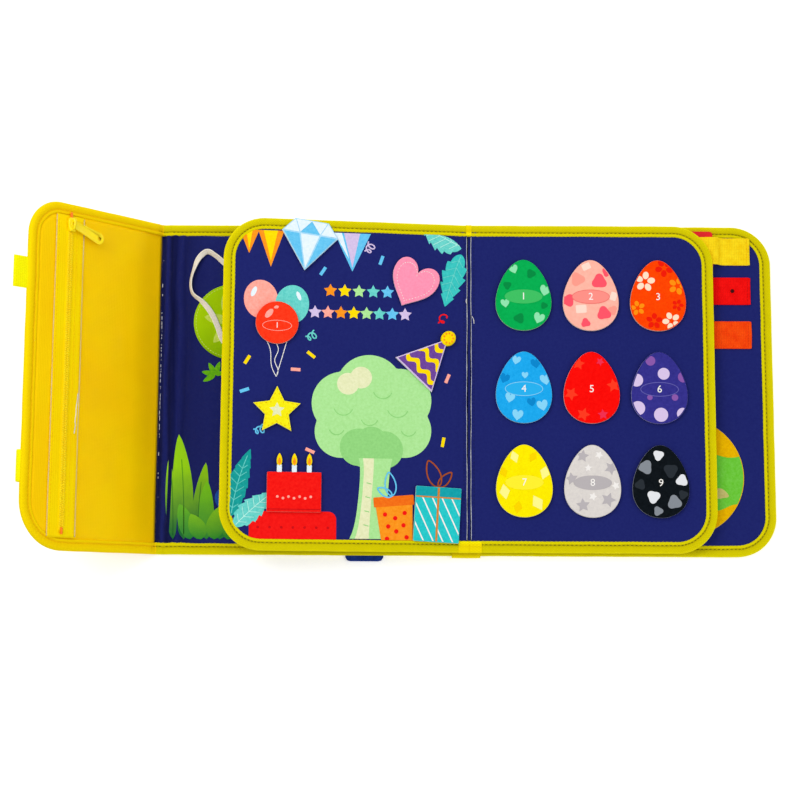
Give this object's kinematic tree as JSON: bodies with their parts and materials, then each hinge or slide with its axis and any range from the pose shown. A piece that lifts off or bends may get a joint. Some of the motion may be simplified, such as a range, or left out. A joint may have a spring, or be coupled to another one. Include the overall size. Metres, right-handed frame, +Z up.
{
  "type": "busy board case",
  "caption": "Fold-out felt activity case with a spine, two bound inner leaves, lift-off felt shapes, webbing straps, a buckle and a zipped flap pocket.",
  "frame": {"origin": "middle of the spine on the underside of the open case, below the gutter of the inner leaves", "axes": "+X to the right across the open spread, away from the flap; +Y up the page; +Z up from the surface that the case lies on"},
  "size_m": [0.6844, 0.3173, 0.1228],
  "materials": {
    "navy_felt": "felt",
    "navy_cloth": "woven",
    "stiffener": "matte",
    "binding": "woven tape",
    "flap_cloth": "coated cloth",
    "webbing_yellow": "webbing",
    "webbing_red": "webbing",
    "webbing_orange": "webbing",
    "buckle_red": "moulded",
    "lace_white": "flat lace",
    "patch_lime": "felt",
    "patch_orange": "felt",
    "tab_blue": "webbing",
    "zip_yellow": "zip tape",
    "zip_teeth": "moulded",
    "zip_metal": "painted",
    "clear_film": "clear film",
    "felt_red_orange": "felt",
    "felt_yellow": "felt",
    "felt_pink": "felt",
    "felt_pale_blue": "felt",
    "felt_purple": "felt",
    "felt_teal": "felt",
    "felt_red": "felt",
    "egg_green": "felt",
    "egg_pink": "felt",
    "egg_orange": "felt",
    "egg_blue": "felt",
    "egg_red": "felt",
    "egg_purple": "felt",
    "egg_yellow": "felt",
    "egg_white": "felt",
    "egg_black": "felt"
  },
  "bodies": {
    "left_cover": {"left_cover_shell": "navy_cloth", "left_cover_board": "stiffener", "left_page": "navy_felt", "left_binding_top": "binding", "left_binding_bottom": "binding", "left_page_patch": "patch_lime", "lace_anchor": "tab_blue", "lace": "lace_white", "side_tab": "tab_blue"},
    "spine": {"spine_panel": "navy_cloth"},
    "right_cover": {"right_cover_shell": "navy_cloth", "right_cover_board": "stiffener", "right_page": "navy_felt", "right_cover_binding": "binding", "right_page_patch": "patch_orange", "buckle_socket": "buckle_red", "yellow_strap_outer": "webbing_yellow", "red_belt": "webbing_red", "orange_strap": "webbing_orange"},
    "clip": {"buckle_clip": "buckle_red", "yellow_strap_inner": "webbing_yellow"},
    "gusset": {"gusset_panel": "flap_cloth", "gusset_window": "clear_film"},
    "flap": {"flap_shell": "flap_cloth", "flap_lining": "flap_cloth", "flap_binding": "binding", "pocket_window": "clear_film", "zip_tape": "zip_yellow", "zip_chain": "zip_teeth", "closure_tab_upper": "webbing_yellow", "closure_tab_lower": "webbing_yellow"},
    "slider": {"zip_slider": "zip_metal"},
    "pull": {"zip_pull": "zip_metal"},
    "left_margin": {"left_gutter_margin": "navy_felt"},
    "right_margin": {"right_gutter_margin": "navy_felt"},
    "left_leaf": {"left_leaf_back": "navy_felt", "left_leaf_board": "stiffener", "left_leaf_page": "navy_felt", "left_leaf_binding": "binding"},
    "right_leaf": {"right_leaf_back": "navy_felt", "right_leaf_board": "stiffener", "right_leaf_page": "navy_felt", "right_leaf_binding": "binding"},
    "felt_circle_piece": {"felt_circle": "felt_red_orange"},
    "felt_star_piece": {"felt_star": "felt_yellow"},
    "felt_heart_piece": {"felt_heart": "felt_pink"},
    "felt_gem_piece": {"felt_gem": "felt_pale_blue"},
    "felt_hat_piece": {"felt_hat": "felt_purple"},
    "felt_gift_piece": {"felt_gift": "felt_teal"},
    "felt_cake_piece": {"felt_cake": "felt_red"},
    "egg_green_piece": {"egg_green": "egg_green"},
    "egg_pink_piece": {"egg_pink": "egg_pink"},
    "egg_orange_piece": {"egg_orange": "egg_orange"},
    "egg_blue_piece": {"egg_blue": "egg_blue"},
    "egg_red_piece": {"egg_red": "egg_red"},
    "egg_purple_piece": {"egg_purple": "egg_purple"},
    "egg_yellow_piece": {"egg_yellow": "egg_yellow"},
    "egg_white_piece": {"egg_white": "egg_white"},
    "egg_black_piece": {"egg_black": "egg_black"}
  },
  "joints": [
    {"name": "case_fold", "type": "hinge", "parent": "left_cover", "child": "spine", "pos_m": [-0.022, 0, 0.0012], "axis": [0, 1, 0], "range_deg": [-90, 0]},
    {"name": "right_cover_fold", "type": "hinge", "parent": "spine", "child": "right_cover", "pos_m": [0.022, 0, 0.0012], "axis": [0, 1, 0], "range_deg": [-90, 0]},
    {"name": "left_carry", "type": "hinge", "parent": "spine", "child": "left_margin", "pos_m": [-0.0016, 0, 0.0216], "axis": [0, 1, 0], "range_deg": [0, 82]},
    {"name": "right_carry", "type": "hinge", "parent": "spine", "child": "right_margin", "pos_m": [0.0016, 0, 0.0216], "axis": [0, 1, 0], "range_deg": [-90, 0]},
    {"name": "left_leaf_turn", "type": "hinge", "parent": "left_margin", "child": "left_leaf", "pos_m": [-0.008, 0, 0.01957], "axis": [0, 1, 0], "range_deg": [0, 62]},
    {"name": "right_leaf_turn", "type": "hinge", "parent": "right_margin", "child": "right_leaf", "pos_m": [0.00765, 0, 0.0187], "axis": [0, -1, 0], "range_deg": [0, 70]},
    {"name": "gusset_fold", "type": "hinge", "parent": "left_cover", "child": "gusset", "pos_m": [-0.2885, 0, 0.0012], "axis": [0, -1, 0], "range_deg": [-43, 47]},
    {"name": "flap_fold", "type": "hinge", "parent": "gusset", "child": "flap", "pos_m": [-0.32465, 0, 0.03996], "axis": [0, -1, 0], "range_deg": [-80, 0]},
    {"name": "zip_slide", "type": "slide", "parent": "flap", "child": "slider", "axis": [0, -1, 0], "range_m": [0, 0.26]},
    {"name": "pull_swing", "type": "hinge", "parent": "slider", "child": "pull", "pos_m": [-0.36216, 0.135, 0.08019], "axis": [0.7314, 0, 0.682], "range_deg": [-70, 60]},
    {"name": "buckle_release", "type": "slide", "parent": "right_cover", "child": "clip", "axis": [-1, 0, 0], "range_m": [0, 0.02]},
    {"name": "felt_circle_lift", "type": "slide", "parent": "left_leaf", "child": "felt_circle_piece", "axis": [0.1392, 0, 0.9903], "range_m": [0, 0.008]},
    {"name": "felt_star_lift", "type": "slide", "parent": "left_leaf", "child": "felt_star_piece", "axis": [0.1392, 0, 0.9903], "range_m": [0, 0.008]},
    {"name": "felt_heart_lift", "type": "slide", "parent": "left_leaf", "child": "felt_heart_piece", "axis": [0.1392, 0, 0.9903], "range_m": [0, 0.008]},
    {"name": "felt_gem_lift", "type": "slide", "parent": "left_leaf", "child": "felt_gem_piece", "axis": [0.1392, 0, 0.9903], "range_m": [0, 0.008]},
    {"name": "felt_hat_lift", "type": "slide", "parent": "left_leaf", "child": "felt_hat_piece", "axis": [0.1392, 0, 0.9903], "range_m": [0, 0.008]},
    {"name": "felt_gift_lift", "type": "slide", "parent": "left_leaf", "child": "felt_gift_piece", "axis": [0.1392, 0, 0.9903], "range_m": [0, 0.008]},
    {"name": "felt_cake_lift", "type": "slide", "parent": "left_leaf", "child": "felt_cake_piece", "axis": [0.1392, 0, 0.9903], "range_m": [0, 0.008]},
    {"name": "egg_green_lift", "type": "slide", "parent": "right_leaf", "child": "egg_green_piece", "axis": [0, 0, 1], "range_m": [0, 0.008]},
    {"name": "egg_pink_lift", "type": "slide", "parent": "right_leaf", "child": "egg_pink_piece", "axis": [0, 0, 1], "range_m": [0, 0.008]},
    {"name": "egg_orange_lift", "type": "slide", "parent": "right_leaf", "child": "egg_orange_piece", "axis": [0, 0, 1], "range_m": [0, 0.008]},
    {"name": "egg_blue_lift", "type": "slide", "parent": "right_leaf", "child": "egg_blue_piece", "axis": [0, 0, 1], "range_m": [0, 0.008]},
    {"name": "egg_red_lift", "type": "slide", "parent": "right_leaf", "child": "egg_red_piece", "axis": [0, 0, 1], "range_m": [0, 0.008]},
    {"name": "egg_purple_lift", "type": "slide", "parent": "right_leaf", "child": "egg_purple_piece", "axis": [0, 0, 1], "range_m": [0, 0.008]},
    {"name": "egg_yellow_lift", "type": "slide", "parent": "right_leaf", "child": "egg_yellow_piece", "axis": [0, 0, 1], "range_m": [0, 0.008]},
    {"name": "egg_white_lift", "type": "slide", "parent": "right_leaf", "child": "egg_white_piece", "axis": [0, 0, 1], "range_m": [0, 0.008]},
    {"name": "egg_black_lift", "type": "slide", "parent": "right_leaf", "child": "egg_black_piece", "axis": [0, 0, 1], "range_m": [0, 0.008]}
  ],
  "couplings": [
    {"joint": "right_cover_fold", "follows": "case_fold", "ratio": 1},
    {"joint": "left_carry", "follows": "case_fold", "ratio": -0.91111},
    {"joint": "right_carry", "follows": "case_fold", "ratio": 1}
  ]
}
